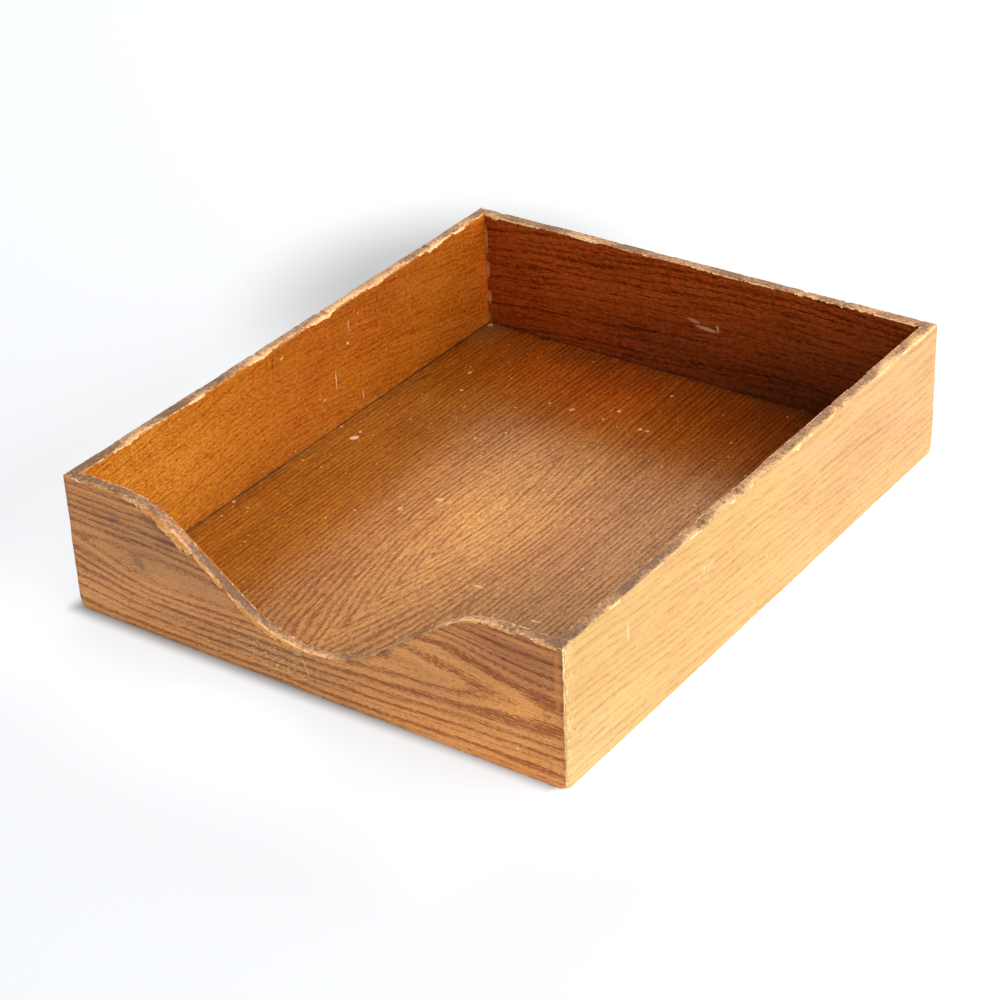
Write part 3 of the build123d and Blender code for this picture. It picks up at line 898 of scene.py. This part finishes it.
RIGHT_IN_FIGURE = Figure(
    centre=30, core=12, start=-30, slope=0.10, reach=25, spacing=3.4, first=0.0, tilt=0.0, wander=6,
    uneven=0.6, bold=0.5, fine=0.8, sheen=AMBER,
)
BACK_IN_FIGURE = Figure(
    centre=-30, core=10, start=50, slope=0.10, reach=300, spacing=3.7, first=0.0, tilt=0.0, wander=8,
    uneven=0.8, bold=0.38, fine=1.1, sheen=AMBER, mottled=2.4,
)
LEFT_IN_FIGURE = Figure(
    centre=-60, core=10, start=-10, slope=0.17, reach=400, spacing=2.7, first=0.0, tilt=0.0, wander=8,
    uneven=0.6, bold=0.22, fine=1.25, sheen=AMBER, mottled=2.4,
)
FLOOR_FIGURE = Figure(
    centre=-13, core=1, start=-5, slope=0.23, reach=28, spacing=2.7, first=0.3, tilt=0.0, wander=2,
    uneven=0.25, bold=0.52, fine=1.05, sheen=AMBER, mottled=2.4, fade=0.016,
)
UNDER_FIGURE = Figure(
    centre=40, core=14, start=60, slope=0.12, reach=50, spacing=4.5, first=0.0, tilt=0.0, wander=12,
    uneven=0.8, bold=0.6, fine=0.8, sheen=SHEEN,
)
outside = {
    "front": oak(
        "oak_front", "X", "Z", FRONT_FIGURE, front_tones, seed=1.0, gloss=0.34,
        extras=worn(srgb(240, 196, 140), 0.4, 0.15, FRONT_SPOTS, front_scuffs, FRONT_PATCHES),
    ),
    "right": oak(
        "oak_right", "Y", "Z", RIGHT_FIGURE, right_lit_tones, seed=2.0, gloss=0.34,
        extras=worn(srgb(250, 225, 180), 0.1, 0.12, RIGHT_SPOTS, right_scuffs, RIGHT_PATCHES),
    ),
    "back": oak(
        "oak_back", "X", "Z", BACK_FIGURE, other_tones, seed=3.0, gloss=0.34,
        extras=worn(srgb(235, 200, 150), 0.4),
    ),
    "left": oak(
        "oak_left", "Y", "Z", LEFT_FIGURE, other_tones, seed=4.0, gloss=0.34,
        extras=worn(srgb(235, 200, 150), 0.4),
    ),
}
inside = {
    "front": oak(
        "oak_front_inside", "X", "Z", FRONT_IN_FIGURE, left_in_tones, seed=5.0, gloss=0.30,
        extras=worn(srgb(225, 170, 110), 0.3),
    ),
    "right": oak(
        "oak_right_inside", "Y", "Z", RIGHT_IN_FIGURE, left_in_tones, seed=6.0, gloss=0.30,
        extras=worn(srgb(225, 170, 110), 0.3),
    ),
    "back": oak(
        "oak_back_inside", "X", "Z", BACK_IN_FIGURE, back_in_tones, seed=7.0, gloss=0.30,
        extras=worn(srgb(180, 110, 56), 0.3, 0.1, BACK_IN_SPOTS, None, BACK_IN_SHADE_PATCHES),
    ),
    "left": oak(
        "oak_left_inside", "Y", "Z", LEFT_IN_FIGURE, left_in_tones, seed=8.0, gloss=0.30,
        extras=worn(srgb(240, 184, 116), 0.3, 0.25, LEFT_IN_SPOTS, None, LEFT_IN_LIGHT_AND_SHADE_PATCHES),
    ),
}
floor_oak = oak("oak_floor", "Y", "X", FLOOR_FIGURE, floor_tones, seed=9.0, gloss=0.20, extras=floor_wear_and_painted_light)
under_oak = oak("oak_underside", "Y", "X", UNDER_FIGURE, under_tones, seed=10.0, gloss=0.5)
core_edge = ply_edge(
    "ply_core_edge",
    grey=(srgb(200, 150, 104), srgb(122, 88, 62)),
    beige=(srgb(238, 184, 126), srgb(198, 144, 94)),
    pit_colour=srgb(84, 62, 46),
    seed=1.0,
)
hidden_wood = plain_wood("spline_wood", srgb(206, 172, 122), srgb(178, 140, 92), seed=2.0)

for wall in WALLS:
    outer_veneer(wall, outside[wall.name])
    wall_core(wall, core_edge)
    inner_veneer(wall, inside[wall.name])
    foot_veneer(wall, under_oak)
bottom_ply("bottom_top_veneer", floor_oak, shown=1, step=2.0, seed=201)
bottom_ply("bottom_core", core_edge, shown=0, step=12.0, seed=203)
bottom_ply("bottom_under_veneer", under_oak, shown=-1, step=3.0, seed=205)
for name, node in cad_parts.items():
    if name.endswith("_spline"):
        node.data.materials.clear()
        node.data.materials.append(hidden_wood)


# ---------------------------------------------------------------- studio

def floor_glow_and_painted_shadows(g):
    """How much the studio floor glows of itself, though it is no lamp, and its tint. The glow is less near
    the foot as a painted contact shadow, except towards the lit right side; it is more from 20 to 110 mm
    out than farther off, as painted light; and it is less behind the tray's back left corner as a painted
    soft shadow, tinted warm there.
    """
    aside = g.math("MAXIMUM", g.math("ABSOLUTE", g.x) - WIDTH / 2, 0.0)
    ahead = g.math("MAXIMUM", g.math("ABSOLUTE", g.y) - DEPTH / 2, 0.0)
    lit_side = g.x.step(WIDTH / 2 - 8, WIDTH / 2 + 10, 0.0, 40.0) + g.x.step(-30, 120, 0.0, 2.5)
    far = g.math("SQRT", aside * aside + ahead * ahead) + lit_side
    # painted contact shadow: the glow is low at the foot, highest about 20 mm out, then eases down farther
    # off
    glow = far.step(-1.5, 8.5, 0.08, 0.68) - far.step(20, 110, 0.0, 0.21)
    # painted soft shadow behind the back left corner, and painted shade along the walls near that corner
    behind = oval(g, g.x, g.y, Spot(-170, 184, 136, 146)).step(0.1, 1.0, 1.0, 0.0)
    corner = oval(g, g.x, g.y, Spot(-130, 159, 300, 330)).step(0.3, 1.0, 1.0, 0.0)
    painted_shadow = g.math("MAXIMUM", behind * 0.58, far.step(0.0, 90.0, 0.50, 0.0) * corner)
    tint = g.mix(behind, (0.96, 0.975, 1.0, 1.0), (1.0, 0.95, 0.80, 1.0))
    return g.math("MAXIMUM", glow - painted_shadow, 0.05), tint


def studio():
    """A white floor that glows of itself, with painted shadows about the tray, a dim white room, a soft
    window high on the right and a bright card behind.
    """
    scene = bpy.context.scene
    scene.view_settings.view_transform = "Standard"
    scene.view_settings.look = "None"

    mesh = bpy.data.meshes.new("studio_floor")
    size, drop = 6.0, -0.0001
    corners = [(-size, -size, drop), (size, -size, drop), (size, size, drop), (-size, size, drop)]
    mesh.from_pydata(corners, [], [(0, 1, 2, 3)])
    g = Graph("glowing_sweep_with_painted_shadows")
    glow, tint = floor_glow_and_painted_shadows(g)
    g.set(Base_Color=(0.40, 0.41, 0.42, 1.0), Roughness=0.9, Emission_Color=tint, Emission_Strength=glow)
    mesh.materials.append(g.material)
    floor = bpy.data.objects.new("studio_floor", mesh)
    scene.collection.objects.link(floor)

    world = bpy.data.worlds.new("white_room")
    scene.world = world
    world.use_nodes = True
    background = world.node_tree.nodes["Background"].inputs
    background["Color"].default_value = (0.97, 0.985, 1.0, 1.0)
    background["Strength"].default_value = 0.62

    area_light(
        "window", place=(1.18, 0.84, 0.88), aim=(0, 0, 0.03), size=(3.4, 1.5), power=60.0,
        colour=(1.0, 0.985, 0.96),
    )
    area_light(
        "card", place=(-1.4, 1.6, 1.15), aim=(0, 0, 0.0), size=(2.2, 1.4), power=15.0,
        colour=(1.0, 1.0, 1.0),
    )


def area_light(name, place, aim, size, power, colour):
    """A rectangular light at a place, facing its aim."""
    light = bpy.data.lights.new(name, "AREA")
    light.shape = "RECTANGLE"
    light.size, light.size_y = size
    light.energy = power
    light.color = colour
    lamp = bpy.data.objects.new(name, light)
    lamp.location = place
    lamp.rotation_euler = (Vector(aim) - Vector(place)).to_track_quat("-Z", "Y").to_euler()
    bpy.context.scene.collection.objects.link(lamp)


def camera():
    """Looks down on the front right corner, turned slightly on its axis."""
    azimuth, elevation, roll = radians(35.96), radians(30.88), radians(-2.565)
    distance, target = 1.2255, Vector((0.00384, -0.02122, 0.02604))
    back = Vector((sin(azimuth) * cos(elevation), -cos(azimuth) * cos(elevation), sin(elevation)))
    level = Vector((cos(azimuth), sin(azimuth), 0))
    upright = back.cross(level)
    right = level * cos(roll) + upright * sin(roll)
    up = upright * cos(roll) - level * sin(roll)
    data = bpy.data.cameras.new("camera")
    data.lens, data.sensor_width = 97.57, 36.0
    data.clip_end = 50
    eye = bpy.data.objects.new("camera", data)
    turn = Matrix((right, up, back)).transposed().to_4x4()
    eye.matrix_world = Matrix.Translation(target + back * distance) @ turn
    bpy.context.scene.collection.objects.link(eye)
    bpy.context.scene.camera = eye


studio()
camera()
